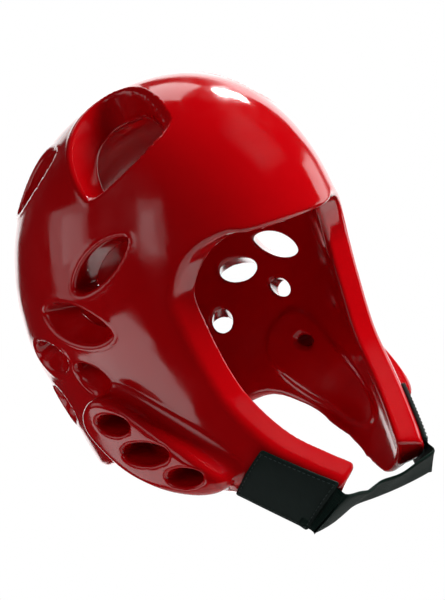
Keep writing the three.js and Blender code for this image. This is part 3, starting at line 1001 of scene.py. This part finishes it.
for side in ("right", "left"):
    work = tab_sheet()
    keep_flat_places(work)
    top = CLEARANCE + TAB_THICKNESS - 0.1
    for vert in work.verts:
        vert.co = on_cheek(vert.co.x, vert.co.y, top + vert.co.z)
    bmesh.ops.recalc_face_normals(work, faces=work.faces)
    if sum(face.normal.x for face in work.faces) > 0:
        bmesh.ops.reverse_faces(work, faces=work.faces)
    bmesh.ops.solidify(work, geom=work.faces[:], thickness=TAB_THICKNESS - 0.5)
    if side == "left":
        mirrored(work)
    tab = new_piece("coated_tab_" + side, work, tab_cloth, "strap_tab_" + side)

    stitches = bmesh.new()
    for across, reach_out in ((0, TAB_LENGTH / 2), (1, TAB_WIDTH / 2)):
        length = reach_out - TAB_CORNER
        rim = (TAB_WIDTH if across == 0 else TAB_LENGTH) / 2 - STITCH_IN
        for edge in (-1, 1):
            for at in np.arange(-length, length, STITCH_STEP):
                flat = (at, edge * rim) if across == 0 else (edge * rim, at)
                ahead = (at + 0.5, edge * rim) if across == 0 else (edge * rim, at + 0.5)
                place = Vector(on_cheek(*flat, top))
                way = (Vector(on_cheek(*ahead, top)) - place).normalized()
                turned = way.to_track_quat("X", "Z").to_matrix().to_4x4()
                made = bmesh.ops.create_cube(stitches, size=1)
                bmesh.ops.scale(stitches, vec=STITCH_SIZE, verts=made["verts"])
                matrix = Matrix.Translation(place) @ turned
                bmesh.ops.transform(stitches, matrix=matrix, verts=made["verts"])
    edges = stitches.edges[:]
    bmesh.ops.bevel(
        stitches, geom=edges, offset=STITCH_BEVEL, offset_type="OFFSET", segments=1, profile=0.5,
        affect="EDGES", material=-1,
    )
    if side == "left":
        mirrored(stitches)
    sewn = new_piece("tab_stitches_" + side, stitches, thread, None)

# %% [markdown]
# ## Chin strap
# The strap is one length of woven elastic from tab to tab. It leaves each tab flat against the cheek, turns
# under the chin and hangs a little at its rear edge. A flat grid is laid along the CAD strap's own route,
# and the route's stations are first eased, because webbing never turns as sharply as a drawn line. Each
# end starts a little inside its tab's thickness, so that no gap shows where the two meet.

# %% Route of the strap
STRAP_WIDTH = 30
STRAP_THICKNESS = 2
STRAP_LEAD = 3
STRAP_OVERLAP = 6
STRAP_EASING = 30
TWIST_EASING = 60
STRAP_CURL = 0.3
STRAP_INSET = 0.2
# Span, reach, drop, swing and hang from the right tab to the middle of the chin
STRAP_ROUTE = [
    (1.02, 0.830, 0.992, 34, 26),
    (0.62, 0.780, 1.005, 12, 24),
    (0.30, 0.723, 1.012, 3, 17),
    (0.00, 0.690, 1.003, 0, 18),
]


def even_curve(knots, steps):
    """Smooth curve through uneven knots, sampled with as many steps in every span."""
    line = []
    last = len(knots) - 1
    for s in np.linspace(0, last, steps + 1):
        i = min(int(s), last - 1)
        t = s - i
        b, c = knots[i], knots[i + 1]
        a = knots[i - 1] if i > 0 else 2 * b - c
        d = knots[i + 2] if i + 2 <= last else 2 * c - b
        first, middle, final = [max(np.linalg.norm(q - p) ** 0.5, 1e-4) for p, q in ((a, b), (b, c), (c, d))]
        start = ((b - a) / first - (c - a) / (first + middle) + (c - b) / middle) * middle
        end = ((c - b) / middle - (d - b) / (middle + final) + (d - c) / final) * middle
        bend = -3 * b + 3 * c - 2 * start - end
        line.append(b + start * t + bend * t * t + (2 * b - 2 * c + start + end) * t**3)
    return np.array(line)


def eased(line, rounds):
    """Softens sharp turns and keeps both ends."""
    for _ in range(rounds):
        line[1:-1] += 0.5 * ((line[:-2] + line[2:]) / 2 - line[1:-1])
    return line


tab_end = TAB_LENGTH / 2 + CLEARANCE
strap_out = CLEARANCE + TAB_THICKNESS / 2
start = on_cheek(tab_end, 0, strap_out)
start_width = on_cheek(tab_end, -STRAP_WIDTH / 2, strap_out) - on_cheek(tab_end, STRAP_WIDTH / 2, strap_out)
start_width /= np.linalg.norm(start_width)
lead_y, lead_z = tilted(TAB_MIDDLE, TAB_TILT, tab_end + STRAP_LEAD, 0)
hidden_start = on_cheek(tab_end - STRAP_OVERLAP, 0, strap_out)
middles = [hidden_start, start, np.array([start[0], lead_y, lead_z])]
widths = [start_width, start_width, start_width]
for span, reach, drop, swing, hang in STRAP_ROUTE:
    swing, hang = math.radians(swing), math.radians(hang)
    middles.append(np.array([span * start[0], *side_place(reach, drop)]))
    widths.append(np.array([
        -math.sin(swing) * math.cos(hang), math.cos(swing) * math.cos(hang), -math.sin(hang),
    ]))
flip = np.array([-1, 1, 1])
middles += [m * flip for m in middles[-2::-1]]
widths += [w * flip for w in widths[-2::-1]]
STRAP_STEPS = 200
strap_line = eased(even_curve(middles, STRAP_STEPS), STRAP_EASING)
strap_lay = eased(even_curve(widths, STRAP_STEPS), TWIST_EASING)
strap_lay /= np.linalg.norm(strap_lay, axis=1)[:, None]
strap_run = np.concatenate([[0], np.linalg.norm(np.diff(strap_line, axis=0), axis=1).cumsum()])
print("strap length in mm:", round(float(strap_run[-1])))

# %% Strap
work = bmesh.new()
bmesh.ops.create_grid(work, x_segments=STRAP_STEPS, y_segments=10, size=0.5)
for vert in work.verts:
    vert.co.x = strap_run[round((vert.co.x + 0.5) * STRAP_STEPS)]
    vert.co.y *= STRAP_WIDTH
keep_flat_places(work)
tangents = np.gradient(strap_line, axis=0)
for vert in work.verts:
    k = int(np.argmin(np.abs(strap_run - vert.co.x)))
    out = np.cross(tangents[k], strap_lay[k])
    out /= np.linalg.norm(out)
    curl = STRAP_CURL * (2 * vert.co.y / STRAP_WIDTH) ** 2
    lift = STRAP_THICKNESS / 2 - STRAP_INSET - curl
    vert.co = strap_line[k] + strap_lay[k] * vert.co.y + out * lift
bmesh.ops.solidify(work, geom=work.faces[:], thickness=STRAP_THICKNESS - 2 * STRAP_INSET)
bmesh.ops.recalc_face_normals(work, faces=work.faces)
strap = new_piece("elastic_chin_strap", work, webbing, "chin_strap")
